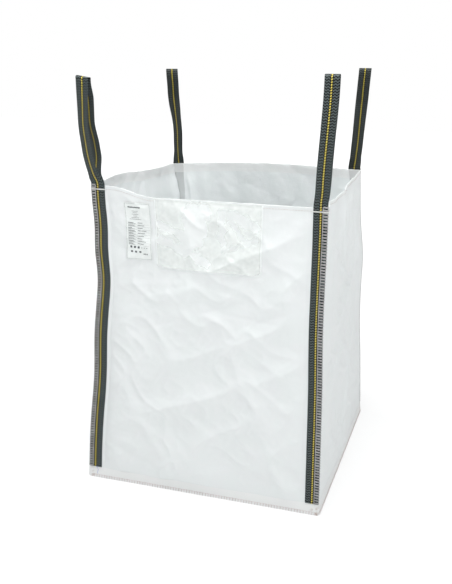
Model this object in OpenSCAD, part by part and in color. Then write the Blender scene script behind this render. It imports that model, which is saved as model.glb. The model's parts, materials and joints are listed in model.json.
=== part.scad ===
// Four-loop bulk bag of woven fabric: a square bag with a flat base, an open hemmed
// mouth and a lifting loop of webbing at each corner. Each loop is one strap whose two
// ends lie on each other and are sewn down the corner of the front or back wall.
//
// Millimetres, +Z up. The origin is the centre of the underside of the base, and the
// front wall, with the label and the document pouch, faces -Y.

/* [Bag] */
// Width of the base, left to right
base_w = 900; // [700:10:1100]
// Depth of the base, front to back
base_d = 900; // [700:10:1100]
// Height of the walls, floor to rim
body_h = 1100; // [800:10:1400]
// How far each wall is drawn in by the time it reaches the rim
rim_inset = 26; // [10:1:60]
// Thickness of the woven fabric
fabric_t = 1.2; // [0.8:0.1:2]

/* [Hems and seams] */
// Depth of the hem folded to the inside of the rim
hem_h = 40; // [25:1:60]
// Drop from the rim to the row of stitches that holds the hem
stitch_drop = 12; // [8:1:18]
// Height of the base fabric turned up over the foot of each wall
fold_h = 40; // [25:1:60]
// Width of the overlock seam down each corner and along the foot
overlock_w = 16; // [10:1:20]
// Thickness of the sewing thread where it lies on the fabric
thread_t = 0.8; // [0.5:0.1:1.2]

/* [Lifting loops] */
// Width of the webbing
web_w = 50; // [40:1:70]
// Thickness of one layer of webbing
web_t = 1.8; // [1.2:0.1:2.5]
// Height of each crown over the rim: front left, front right, back left, back right
loop_h = [402, 422, 413, 426]; // [360:1:440]
// How far each crown leans out sideways past its corner
loop_spread = 32; // [0:1:40]
// Inner radius of the fold at the crown of a loop
crown_r = 20; // [15:1:25]
// Length of the open eye, from where the two legs part to the centre of the crown
eye_h = 195; // [150:5:240]

/* [Label and document pouch] */
// Width of the printed label
label_w = 102; // [80:1:120]
// Length of the printed label
label_h = 205; // [150:1:240]
// Sideways place of the label's centre line
label_x = -254; // [-270:1:-250]
// Drop from the rim to the top of the label
label_drop = 33; // [30:1:60]
// Width of the clear document pouch
pouch_w = 395; // [300:1:398]
// Length of the clear document pouch below its seam
pouch_h = 246; // [180:1:300]
// Sideways place of the pouch's centre line
pouch_x = 9; // [8:1:30]
// Radius of the pouch's lower corners
pouch_r = 18; // [8:1:30]
// Thickness of one layer of the pouch's film
film_t = 0.5; // [0.3:0.1:0.6]

/* [Hidden] */
SIDES = ["front", "right", "back", "left"];     // in the order of the walls' quarter turns
CORNERS = ["front_left", "front_right", "back_left", "back_right"];

gap = 0.2;                       // air between pieces that lie on each other
skin = fabric_t + thread_t;      // what lies outside each wall at its foot
foot_x = base_w / 2 - skin;      // outer face of the side walls at the floor
foot_y = base_d / 2 - skin;      // outer face of the front and back walls at the floor
draw_in = rim_inset - skin;      // how far a wall's outer face moves in, floor to rim
lean = atan(draw_in / body_h);   // every wall leans in by this angle
slope_h = body_h / cos(lean);    // length of a wall from floor to rim, along its slope
wall_foot = fabric_t + gap;      // the walls stand on the base panel
strap_foot = fold_h + 3;         // the straps end just above the base fold
strap_top = slope_h + 13;        // above the rim the two layers still stand together
stack_t = 2 * web_t;             // both ends of a strap, one on the other

seam_h = 12;                     // reach of the overlock stitches up the base fold
stitch_w = 2;                    // width of a row of stitches
flap_gap = 0.4;                  // air between the wall and the label or pouch
label_t = 0.6;
seal_w = 6;                      // width of the pouch's welded edge
seal_t = 0.6;                    // air between the pouch's two films
hinge_rise = 20;                 // the loops bend this far above the rim
loop_start = 2.5;                // a loop's own webbing starts this far above its bend

fabric_c = "whitesmoke";
hem_c = "gainsboro";
thread_c = "silver";
webbing_c = [0.19, 0.23, 0.24];
film_c = [0.86, 0.92, 0.94];

// Half the width of a wall at height s up its slope
function half_w(side, s) =
    (side % 2 == 0 ? foot_x : foot_y) - draw_in * s / slope_h;

// Puts its children on the outer face of a wall: X runs to the right as seen from
// outside, Y points into the bag and Z runs up the slope of the wall.
module on_wall(side)
    rotate([0, 0, 90 * side])
        translate([0, -(side % 2 == 0 ? foot_y : foot_x), 0])
            rotate([-lean, 0, 0])
                children();

// A flat piece of thickness t, drawn in a wall's own X and Z, whose inner face is at depth
module sheet(depth, t)
    translate([0, depth, 0])
        rotate([90, 0, 0])
            linear_extrude(t)
                children();

// A band right across a wall from height s0 to s1, stopping trim short of each corner
module band(side, s0, s1, trim)
    polygon([
        [-half_w(side, s0) + trim, s0], [half_w(side, s0) - trim, s0],
        [half_w(side, s1) - trim, s1], [-half_w(side, s1) + trim, s1]
    ]);

// A strip of width w that runs down a corner from s1 to s0, its outer edge on the corner
module corner_strip(side, hand, s0, s1, w)
    polygon([
        [hand * (half_w(side, s0) - w), s0], [hand * half_w(side, s0), s0],
        [hand * half_w(side, s1), s1], [hand * (half_w(side, s1) - w), s1]
    ]);

function is_back(corner) = corner >= 2;
function is_right(corner) = corner % 2 == 1;
// The wall that a corner's strap is sewn to, and which end of that wall it is at
function strap_side(corner) = is_back(corner) ? 2 : 0;
function strap_hand(corner) = is_back(corner) == is_right(corner) ? -1 : 1;

module base_panel()
    color(fabric_c)
        translate([-base_w / 2, -base_d / 2, 0])
            cube([base_w, base_d, fabric_t]);

// The side walls fit between the front and back walls
module wall_panel(side)
    color(fabric_c)
        on_wall(side)
            sheet(fabric_t, fabric_t)
                band(side, wall_foot, slope_h, side % 2 == 0 ? 0 : fabric_t + gap);

// The top of each wall turned to the inside
module hem(side)
    color(hem_c)
        on_wall(side)
            sheet(2 * fabric_t, fabric_t)
                band(side, slope_h - hem_h, slope_h,
                     side % 2 == 0 ? fabric_t + gap : 2 * (fabric_t + gap));

// On the front and back walls the row runs from strap to strap
module rim_stitching(side)
    color(thread_c)
        on_wall(side)
            sheet(0, thread_t)
                band(side, slope_h - stitch_drop - stitch_w / 2,
                     slope_h - stitch_drop + stitch_w / 2,
                     side % 2 == 0 ? web_w + gap : 0);

module base_fold(side)
    color(hem_c)
        on_wall(side)
            sheet(0, fabric_t)
                band(side, wall_foot, fold_h, 0);

module base_seam(side)
    color(thread_c)
        on_wall(side)
            sheet(-fabric_t, thread_t)
                band(side, wall_foot, wall_foot + seam_h, 0);

// One sewn end of a strap; layer 0 lies on the wall and layer 1 on top of it
module strap_run(corner, layer)
    color(webbing_c)
        on_wall(strap_side(corner))
            sheet(-layer * web_t, web_t)
                corner_strip(strap_side(corner), strap_hand(corner),
                             strap_foot, strap_top, web_w);

module corner_seam(corner)
    color(thread_c)
        on_wall(strap_side(corner))
            sheet(-stack_t, thread_t)
                corner_strip(strap_side(corner), strap_hand(corner),
                             strap_foot, slope_h, overlock_w);

// Side view of a free loop, X out from the bag and Y up, with the middle of the sewn
// strap at X 0 and the bend at Y 0. The outer leg goes straight up to the crown, and the
// inner leg leaves it at the foot of the eye and meets the crown at a tangent.
module loop_profile(h) {
    crown_y = h - hinge_rise - crown_r - web_t;
    eye_foot = crown_y - eye_h;
    splay = 2 * atan(crown_r / eye_h);           // angle between the two legs
    touch = [-eye_h * sin(splay), eye_foot + eye_h * cos(splay)];
    outer_touch = touch + web_t * [-cos(splay), -sin(splay)];
    slide = (outer_touch[0] + web_t) / sin(splay);
    outer_foot = [-web_t, outer_touch[1] + slide * cos(splay)];
    difference() {
        union() {
            translate([-crown_r, crown_y]) circle(crown_r + web_t, $fn = 96);
            polygon([
                [web_t, loop_start], [web_t, crown_y], [-crown_r, crown_y],
                outer_touch, outer_foot, [-web_t, loop_start]
            ]);
        }
        translate([-crown_r, crown_y]) circle(crown_r, $fn = 96);
        polygon([[0, eye_foot], [0, crown_y], [-crown_r, crown_y], touch]);
    }
}

module lifting_loop(corner) {
    hand = is_right(corner) ? 1 : -1;
    h = loop_h[corner];
    color(webbing_c)
        translate([
            hand * (base_w / 2 - rim_inset - web_w / 2),
            (is_back(corner) ? 1 : -1) * (base_d / 2 - rim_inset + web_t),
            body_h + hinge_rise
        ])
            rotate([0, hand * atan(loop_spread / h), 0])
                mirror([0, is_back(corner) ? 0 : 1, 0])
                    rotate([90, 0, 90])
                        linear_extrude(web_w, center = true)
                            loop_profile(h);
}

module label_stitching()
    color(thread_c)
        on_wall(0)
            sheet(0, film_t)
                translate([label_x - label_w / 2, slope_h - label_drop + 1])
                    square([label_w, stitch_w]);

module label_card()
    color("white")
        on_wall(0)
            sheet(-flap_gap, label_t)
                translate([label_x - label_w / 2, slope_h - label_drop - label_h])
                    square([label_w, label_h]);

// Outline of the pouch below its seam, with rounded lower corners; inset draws it smaller
module pouch_outline(inset) {
    w = pouch_w - 2 * inset;
    r = pouch_r - inset;
    top = slope_h - stitch_drop - 3;
    translate([pouch_x - w / 2, top - pouch_h + inset]) {
        translate([0, r]) square([w, pouch_h - inset - r]);
        translate([r, 0]) square([w - 2 * r, r + 1]);
        for (x = [r, w - r]) translate([x, r]) circle(r, $fn = 48);
    }
}

// The strip of film that is caught under the hem's stitches
module pouch_header()
    color(film_c)
        on_wall(0)
            sheet(0, film_t)
                translate([pouch_x - pouch_w / 2, slope_h - stitch_drop + stitch_w / 2])
                    square([pouch_w, stitch_drop - stitch_w]);

module pouch_back_film()
    color(film_c)
        on_wall(0)
            sheet(-flap_gap, film_t)
                pouch_outline(0);

// The welded edge between the two films; the second cut opens it along the top
module pouch_edge_seal()
    color(film_c)
        on_wall(0)
            sheet(-flap_gap - film_t, seal_t)
                difference() {
                    pouch_outline(0);
                    pouch_outline(seal_w);
                    translate([0, seal_w]) pouch_outline(seal_w);
                }

module pouch_front_film()
    color(film_c)
        on_wall(0)
            sheet(-flap_gap - film_t - seal_t, film_t)
                pouch_outline(0);

base_panel();
for (i = [0:3]) {
    wall_panel(i);
    hem(i);
    rim_stitching(i);
    base_fold(i);
    base_seam(i);
    strap_run(i, 0);
    strap_run(i, 1);
    corner_seam(i);
    lifting_loop(i);
}
label_stitching();
label_card();
pouch_header();
pouch_back_film();
pouch_edge_seal();
pouch_front_film();
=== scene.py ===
"""The looks of a bulk bag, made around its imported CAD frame. Lengths are in metres.

The walls are lofted between four soft corner edges. Every hem, strap, stitch, label and
film is laid on that same wall surface, so all of them bow and crease together.
"""
import json
import math

import bpy
import numpy as np
from mathutils import Euler, Matrix, Vector


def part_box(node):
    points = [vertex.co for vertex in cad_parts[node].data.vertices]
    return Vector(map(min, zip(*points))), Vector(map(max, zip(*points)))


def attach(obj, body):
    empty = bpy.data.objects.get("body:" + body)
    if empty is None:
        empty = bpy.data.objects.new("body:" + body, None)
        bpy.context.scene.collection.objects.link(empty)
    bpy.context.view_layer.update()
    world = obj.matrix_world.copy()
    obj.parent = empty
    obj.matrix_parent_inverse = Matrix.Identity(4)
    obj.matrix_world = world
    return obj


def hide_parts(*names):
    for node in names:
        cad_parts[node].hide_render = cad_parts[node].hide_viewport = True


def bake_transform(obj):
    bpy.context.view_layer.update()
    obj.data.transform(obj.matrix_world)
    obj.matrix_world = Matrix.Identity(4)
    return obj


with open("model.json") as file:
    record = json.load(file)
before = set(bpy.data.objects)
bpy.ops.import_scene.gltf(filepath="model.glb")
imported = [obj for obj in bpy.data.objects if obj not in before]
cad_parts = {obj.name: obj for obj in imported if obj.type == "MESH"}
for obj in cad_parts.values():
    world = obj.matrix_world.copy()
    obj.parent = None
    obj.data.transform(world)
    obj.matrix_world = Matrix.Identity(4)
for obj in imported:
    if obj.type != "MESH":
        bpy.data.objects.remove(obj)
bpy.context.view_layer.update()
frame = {"record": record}


# ---------------- the bag's dimensions, and where its soft walls bend

SIDES = ("front", "right", "back", "left")
CORNERS = ("front_left", "front_right", "back_right", "back_left")   # left end of each side
OUT = np.array([(0, -1, 0), (1, 0, 0), (0, 1, 0), (-1, 0, 0)], float)
ALONG = np.array([(1, 0, 0), (0, 1, 0), (-1, 0, 0), (0, -1, 0)], float)
SIGNS = {"front_left": (-1, -1), "front_right": (1, -1), "back_right": (1, 1), "back_left": (-1, 1)}
FRONT = 0

panel_low, panel_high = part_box("front_panel")
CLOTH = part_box("base_panel")[1].z              # thickness of the CAD cloth
HEIGHT = panel_high.z                          # floor to rim
FOOT = -panel_low.y                            # centre to the walls' outer face at the floor
DRAW_IN = panel_high.y - panel_low.y - CLOTH   # how far a wall leans in on its way up
RIM = FOOT - DRAW_IN
FOLD_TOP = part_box("front_base_fold")[1].z      # the base cloth is turned up to here
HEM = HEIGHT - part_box("front_hem")[0].z        # depth of the hem
STRAP_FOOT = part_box("front_left_strap_outer_run")[0].z
STITCH_DROP = HEIGHT - sum(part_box("front_rim_stitching")[k].z for k in (0, 1)) / 2

SHEET = 0.0009        # the cloth drawn: one layer
WEB_WIDTH = 0.050
WEB = 0.0016          # the webbing drawn: one layer
STACK = 2 * WEB + 0.0004  # both sewn runs of a strap, one on the other
CROWN = 0.020 + WEB / 2   # radius of the CAD loops' fold

# How the soft bag differs from a square box at each corner: x and y shifts at the floor and
# at the rim, the rim's rise, and bows of the edge in x as (amount, height, spread).
EDGE = {
    "front_left": {
        "foot": (0.001, 0.001), "rim": (0.004, 0.004), "rise": 0.019,
        "bows": [(0.013, 0.77, 0.10), (0.0155, 0.55, 0.30), (0.012, 0.97, 0.09), (0.008, 0.82, 0.10),
                 (0.005, 0.66, 0.09), (0.0055, 0.40, 0.13)]},
    "front_right": {
        "foot": (-0.010, -0.002), "rim": (0.010, 0.0), "rise": -0.011,
        "bows": [(-0.005, 0.70, 0.20)]},
    "back_right": {
        "foot": (0.004, 0.002), "rim": (-0.010, -0.001), "rise": 0.0,
        "bows": [(0.010, 0.73, 0.12), (-0.003, 0.42, 0.10)]},
    "back_left": {
        "foot": (0.0, 0.0), "rim": (-0.011, -0.006), "rise": -0.010,
        "bows": [(0.034, 0.92, 0.12)]},
}
# Waves along each rim as (rise, place, spread)
RIM_WAVES = {
    "front": [],
    "right": [(-0.005, -0.22, 0.10), (0.006, -0.06, 0.08)],
    "back": [(0.016, 0.0, 0.40)],
    "left": [(0.016, 0.20, 0.20)],
}
# The angular dents of the cloth: degrees of turn, length, width and depth
CRUMPLE = ((24, 0.23, 0.14, 0.0110), (-38, 0.110, 0.068, 0.0062), (58, 0.046, 0.034, 0.0023))
# Bends of each rim in and out as (amount, place, spread), fading out below the rim
RIM_BENDS = {
    "front": [(0.003, -0.10, 0.12)],
    "right": [(-0.009, -0.30, 0.07), (0.009, -0.08, 0.08)],
    "back": [(-0.004, 0.15, 0.15)],
    "left": [(0.005, 0.05, 0.12)],
}
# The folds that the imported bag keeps: height at a wall's middle, slope, and depth
FOLD_LINES = ((0.352, 0.10, 0.0042), (0.722, 0.09, -0.0036), (0.800, 0.06, 0.0030), (0.545, 0.05, -0.0026))
# Single creases: x and height of the middle, degrees of turn, half-length, width and height
CREASES = {
    "front": [
        (-0.02, 0.275, -26, 0.15, 0.008, 0.0040), (-0.21, 0.245, -34, 0.10, 0.007, 0.0030),
        (-0.17, 0.745, 18, 0.09, 0.007, 0.0034), (0.07, 0.765, -14, 0.10, 0.008, 0.0034),
        (0.25, 0.700, 24, 0.09, 0.007, -0.0030), (-0.30, 0.690, 62, 0.07, 0.008, 0.0036),
        (-0.29, 0.560, -55, 0.08, 0.009, 0.0034), (0.31, 0.800, -66, 0.09, 0.009, 0.0030),
        (0.30, 0.560, 70, 0.10, 0.009, 0.0028), (0.12, 0.120, 12, 0.16, 0.009, 0.0026),
        (-0.24, 0.110, -20, 0.12, 0.009, -0.0026), (0.29, 0.300, 40, 0.09, 0.008, 0.0028)],
    "right": [
        (-0.10, 1.000, 84, 0.10, 0.009, 0.0044), (-0.02, 0.960, 96, 0.12, 0.010, 0.0046),
        (-0.21, 0.930, 80, 0.14, 0.011, -0.0036), (0.12, 0.900, 92, 0.16, 0.012, 0.0040),
        (0.25, 0.980, 86, 0.12, 0.010, -0.0040), (-0.06, 0.640, 72, 0.16, 0.013, 0.0040),
        (0.16, 0.480, -60, 0.15, 0.013, 0.0036), (-0.22, 0.360, 58, 0.16, 0.013, -0.0034)],
    "back": [
        (0.10, 0.880, 20, 0.14, 0.010, 0.0034), (-0.18, 0.640, -28, 0.16, 0.011, 0.0038),
        (0.22, 0.420, 34, 0.14, 0.010, -0.0034), (-0.05, 0.200, -16, 0.18, 0.011, 0.0034)],
    "left": [
        (-0.12, 0.940, 82, 0.14, 0.011, 0.0038), (0.15, 0.860, 100, 0.15, 0.012, -0.0036),
        (0.05, 0.560, 24, 0.16, 0.012, 0.0038), (-0.18, 0.300, -38, 0.15, 0.012, 0.0034)],
}


# ---------------- shape functions

def smooth(t, start, end):
    t = np.clip((np.asarray(t, float) - start) / (end - start), 0, 1)
    return t * t * (3 - 2 * t)


def hill(t, centre, spread):
    return np.exp(-(((np.asarray(t, float) - centre) / spread) ** 2))


def lattice(i, j, seed):
    """A fixed value from -1 to 1 for each whole-number point."""
    n = (i.astype(np.int64) * 374761393 + j.astype(np.int64) * 668265263 + seed * 974634777) & 0xFFFFFFFF
    n = ((n ^ (n >> 13)) * 1274126177) & 0xFFFFFFFF
    return ((n ^ (n >> 16)) & 0xFFFF) / 32767.5 - 1


def noise(x, y, seed):
    """Smooth noise from -1 to 1, about one hump to each unit of x and y."""
    x, y = np.broadcast_arrays(np.asarray(x, float), np.asarray(y, float))
    i, j = np.floor(x), np.floor(y)
    u, v = x - i, y - j
    u, v = u * u * u * (u * (6 * u - 15) + 10), v * v * v * (v * (6 * v - 15) + 10)
    low = lattice(i, j, seed) * (1 - u) + lattice(i + 1, j, seed) * u
    high = lattice(i, j + 1, seed) * (1 - u) + lattice(i + 1, j + 1, seed) * u
    return low * (1 - v) + high * v


def half_width(z):
    return FOOT - DRAW_IN * z / HEIGHT


def corner_edge(corner, z):
    """x and y of a corner's outer edge at height z."""
    edge, t = EDGE[corner], z / HEIGHT
    shift = [edge["foot"][k] * (1 - t) + edge["rim"][k] * t for k in (0, 1)]
    shift[0] = shift[0] + sum(amount * hill(z, at, spread) for amount, at, spread in edge["bows"])
    return [SIGNS[corner][k] * half_width(z) + shift[k] for k in (0, 1)]


def rim_height(side, x):
    left, right = (EDGE[CORNERS[(side + k) % 4]]["rise"] for k in (0, 1))
    share = smooth(x, -0.345, -0.200) if side == FRONT else np.clip(x / (2 * RIM) + 0.5, 0, 1)
    ends = np.clip(1 - (x / RIM) ** 4, 0, 1)
    waves = sum(rise * hill(x, at, spread) for rise, at, spread in RIM_WAVES[SIDES[side]])
    return HEIGHT + left + (right - left) * share + waves * ends


def unit(vectors):
    return vectors / np.linalg.norm(vectors, axis=-1, keepdims=True)


def run_lengths(path):
    """How far along a line each of its points is."""
    return np.concatenate([[0.0], np.cumsum(np.linalg.norm(np.diff(path, axis=0), axis=1))])


def turned_to(x, z, angle):
    """The same place along and across a line that climbs at the angle."""
    return x * math.cos(angle) + z * math.sin(angle), z * math.cos(angle) - x * math.sin(angle)


def creases(side, x, z):
    """Low ridges and valleys with narrow crests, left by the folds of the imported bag."""
    total = np.zeros(np.broadcast(x, z).shape)
    for k in range(26):
        pick = [float(lattice(np.array(k), np.array(m), 40 + side)) for m in range(6)]
        at_x, at_z = 0.36 * pick[0], 0.56 + 0.46 * pick[1]
        turn = (0.25 if k % 3 else 1.3) * pick[2] + (0.0 if k % 2 else 0.3)
        length, width = 0.14 + 0.09 * pick[3], 0.011 + 0.006 * pick[4]
        along, across = turned_to(x - at_x, z - at_z, turn)
        total += 0.0026 * pick[5] * np.exp(-((along / length) ** 2)) / (1 + (across / width) ** 2)
    return total


def ridge(x, z, at_x, at_z, degrees, length, width, height):
    """One crease: steep on one side and gentle on the other, fading out at both ends."""
    along, across = turned_to(x - at_x, z - at_z, math.radians(degrees))
    across = across + 0.004 * noise(along / 0.07, at_x * 40, 161)
    lean = np.where(across > 0, width, 2.8 * width)
    return height * np.exp(-((along / length) ** 2)) / (1 + (across / lean) ** 2)


def packing_folds(side, x, z):
    """Sharp folds at the same heights round all four walls, where the bag was packed flat."""
    total = np.zeros(np.broadcast(x, z).shape)
    for k, (height, slope, depth) in enumerate(FOLD_LINES):
        wander = 0.006 * noise(x / 0.22 + 3 * side, k, 151) + 0.0018 * noise(x / 0.05, k + side, 152)
        off = (z - height - slope * x - wander) / 0.016
        strength = 0.60 + 0.40 * noise(x / 0.17 + 5 * side, k, 153)
        total += depth * strength / (1 + np.abs(np.where(off > 0, off, off / 2.4)) ** 1.6)
    for crease in CREASES[SIDES[side]]:
        total += ridge(x, z, *crease)
    return total


def crumple(side, x, z):
    """The angular dents of a stiff sheet that was folded small, from large to fine."""
    bend = 0.05 * noise(x / 0.20, z / 0.20, 171 + side)
    total = 0.0
    for k, (degrees, across, up, amount) in enumerate(CRUMPLE):
        run, rise = turned_to(x + bend, z + 0.6 * bend, math.radians(degrees))
        fold = 1 - np.abs(noise(run / across + 9 * side, rise / up + 5 * k, 181 + k))
        total = total + amount * (fold ** 2 - 0.4)
    return total


def relief(side, x, z):
    """How far a wall's soft surface stands out from the flat wall between its corners."""
    inside = half_width(z) - np.abs(x)
    free = smooth(inside, 0.03, 0.12)
    held = smooth(z, 0.0, 0.10)
    rim = rim_height(side, x)
    broad = 0.009 * noise(x / 0.34 + 7 * side, z / 0.42, 3)
    broad += 0.010 * np.clip(1 - (x / half_width(z)) ** 2, 0, 1) * smooth(HEIGHT - z, 0.02, 0.35)
    folds = creases(side, x, z) + packing_folds(side, x, z) + crumple(side, x, z)
    fine = 0.00040 * noise(x / 0.016, z / 0.018, 9 + side)
    calm, start = ((0.55, 0.06), (0.55, 0.06), (0.85, 0.40), (0.75, 0.40))[side]
    near_rim = 1 - calm * smooth(z, rim - start, rim - 0.3 * start)
    shape = (broad + folds * near_rim) * free * held + fine * smooth(inside, 0.0, 0.05)
    # puckers along the straps' inner edges and the corner seams
    past = np.clip(inside - (WEB_WIDTH if side % 2 == 0 else 0.0), 0, None)
    by_left_strap = (x < 0) & (side == FRONT)
    deep, reach = np.where(by_left_strap, 0.012, 0.006), np.where(by_left_strap, 0.034, 0.022)
    shape -= deep * np.exp(-past / reach) * smooth(past, 0.0, 0.010) * held * smooth(rim - z, 0.0, 0.10)
    shape += 0.0016 * noise(z / 0.028, side, 21) * np.exp(-past / 0.035) * smooth(past, 0.0, 0.008)
    # pleats that hang from the right wall's rim, and softer ones round the rest
    hang = smooth(z, 0.62, 1.08)
    strength = (0.0, 0.0034, 0.002, 0.002)[side] * (1 - 0.6 * smooth(z, 1.02, HEIGHT))
    shape += strength * hang * free * np.cos(x / 0.0185 + 1.5 * noise(x / 0.12, side, 31))
    for amount, at, spread in RIM_BENDS[SIDES[side]]:
        shape += amount * hill(x, at, spread) * smooth(z, rim - 0.22, rim)
    # the groove that the hem's stitches pull
    return shape - 0.0008 * hill(z, rim - STITCH_DROP, 0.003) * smooth(inside, 0.04, 0.06)


def on_wall(side, x, z, out=0.0):
    """Points on a wall: x right from its middle as seen from outside, z up, and out from
    its outer face."""
    x, z, out = np.broadcast_arrays(*(np.asarray(a, float) for a in (x, z, out)))
    share = (x / half_width(z) + 1) / 2
    left, right = (corner_edge(CORNERS[(side + k) % 4], z) for k in (0, 1))
    depth = out + relief(side, x, z)
    xy = [left[k] * (1 - share) + right[k] * share + OUT[side][k] * depth for k in (0, 1)]
    return np.stack([xy[0], xy[1], z], axis=-1)


# ---------------- mesh building

def add_object(name, data):
    thing = bpy.data.objects.new(name, data)
    bpy.context.scene.collection.objects.link(thing)
    return thing


class Shape:
    """Gathers closed forms into one mesh with a UV map in metres."""

    def __init__(self):
        self.points, self.faces, self.uvs, self.count = [], [], [], 0

    def _add(self, points, *parts):
        """Each part is its faces, one row a face, and a (u, v) for each corner of a face."""
        for faces, uv in parts:
            self.faces.extend((faces + self.count).tolist())
            self.uvs.append(uv.reshape(-1, 2))
        self.points.append(points)
        self.count += len(points)

    def shell(self, outer, inner, uv):
        """A closed sheet between two grids of points, rows upward and columns to the right.
        uv is a pair of grids, or a row and a column."""
        rows, columns = outer.shape[:2]
        index = np.arange(rows * columns).reshape(rows, columns)
        quads = np.stack([index[:-1, :-1], index[:-1, 1:], index[1:, 1:], index[1:, :-1]], -1)
        quads = quads.reshape(-1, 4)
        ring = np.concatenate([index[0, :], index[1:, -1], index[-1, -2::-1], index[-2:0:-1, 0]])
        after = np.roll(ring, -1)
        size = rows * columns
        border = np.stack([after, ring, ring + size, after + size], -1)
        faces = np.concatenate([quads, quads[:, ::-1] + size, border])
        flat_uv = np.stack(np.broadcast_arrays(*uv), -1).reshape(-1, 2)
        points = np.concatenate([outer.reshape(-1, 3), inner.reshape(-1, 3)])
        self._add(points, (faces, flat_uv[faces % size]))

    def sweeps(self, rings, around, along):
        """Closed tubes: rings[tube, ring, point], with u for each point and v for each ring."""
        tubes, count, sides = rings.shape[:3]
        index = np.arange(tubes * count * sides).reshape(tubes, count, sides)
        after = np.roll(index, -1, axis=2)
        quads = np.stack([index[:, :-1], after[:, :-1], after[:, 1:], index[:, 1:]], -1)
        across = np.stack([around[:-1], around[1:], around[1:], around[:-1]], -1)
        up = np.stack([along[:-1], along[:-1], along[1:], along[1:]], -1)
        shape = (tubes, count - 1, sides, 4)
        uv = np.stack([np.broadcast_to(across[None, None], shape),
                       np.broadcast_to(up[None, :, None], shape)], -1)
        points = rings.reshape(-1, 3)
        a, b, c = (points[quads[0].reshape(-1, 4)[:, k]] for k in (0, 1, 2))
        middle = rings[0].reshape(-1, 3).mean(0)
        inside_out = float((np.cross(b - a, c - a) * (a - middle)).sum()) < 0
        caps = np.concatenate([index[:, 0, ::-1], index[:, -1, :]])
        cap_uv = np.stack([np.broadcast_to(around[:-1], caps.shape),
                           np.repeat([along[0], along[-1]], tubes)[:, None] + 0 * caps], -1)
        parts = [(quads.reshape(-1, 4), uv.reshape(-1, 4, 2)), (caps, cap_uv)]
        if inside_out:
            parts = [(faces[:, ::-1], uv[:, ::-1]) for faces, uv in parts]
        self._add(points, *parts)

    def tubes(self, paths, radius, facing, sides=6):
        """Round threads along paths[tube, point]; facing is a direction they don't run in."""
        ahead = unit(np.gradient(paths, axis=1))
        across = unit(np.cross(ahead, facing))
        over = np.cross(across, ahead)
        turn = np.arange(sides) * 2 * math.pi / sides
        ring = (np.cos(turn)[:, None] * across[:, :, None] + np.sin(turn)[:, None] * over[:, :, None])
        rings = paths[:, :, None] + radius * ring
        self.sweeps(rings, np.arange(sides + 1) / sides * 0.004, run_lengths(paths[0]))

    def thread(self, side, x, z, out, radius, sides=5):
        """Threads that lie on a wall, at points given as on_wall takes them."""
        self.tubes(on_wall(side, x, z, out), radius, OUT[side], sides)

    def build(self, name, material, replaces, body=None):
        mesh = bpy.data.meshes.new(name)
        mesh.from_pydata(np.concatenate(self.points).tolist(), [], self.faces)
        layer = mesh.uv_layers.new(name="UVMap")
        layer.data.foreach_set("uv", np.concatenate(self.uvs).ravel())
        mesh.polygons.foreach_set("use_smooth", [True] * len(mesh.polygons))
        mesh.materials.append(material)
        mesh.validate()
        mesh.update()
        mesh.set_sharp_from_angle(angle=math.radians(78))   # the cut edges of every sheet
        piece = add_object(name, mesh)
        if replaces:
            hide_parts(*replaces)
        if body:
            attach(piece, body)
        return piece


def build_sheet(name, material, replaces, outer, inner, uv, body=None):
    shape = Shape()
    shape.shell(outer, inner, uv)
    return shape.build(name, material, replaces, body)


def hang(piece, body, reach):
    """Bakes the piece's transform into its mesh. reach is not used."""
    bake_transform(piece)


def spaced(start, end, step):
    """Even steps from start to end, each about step long."""
    return np.linspace(start, end, max(2, int(round(abs(end - start) / step)) + 1))


# ---------------- materials

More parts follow.
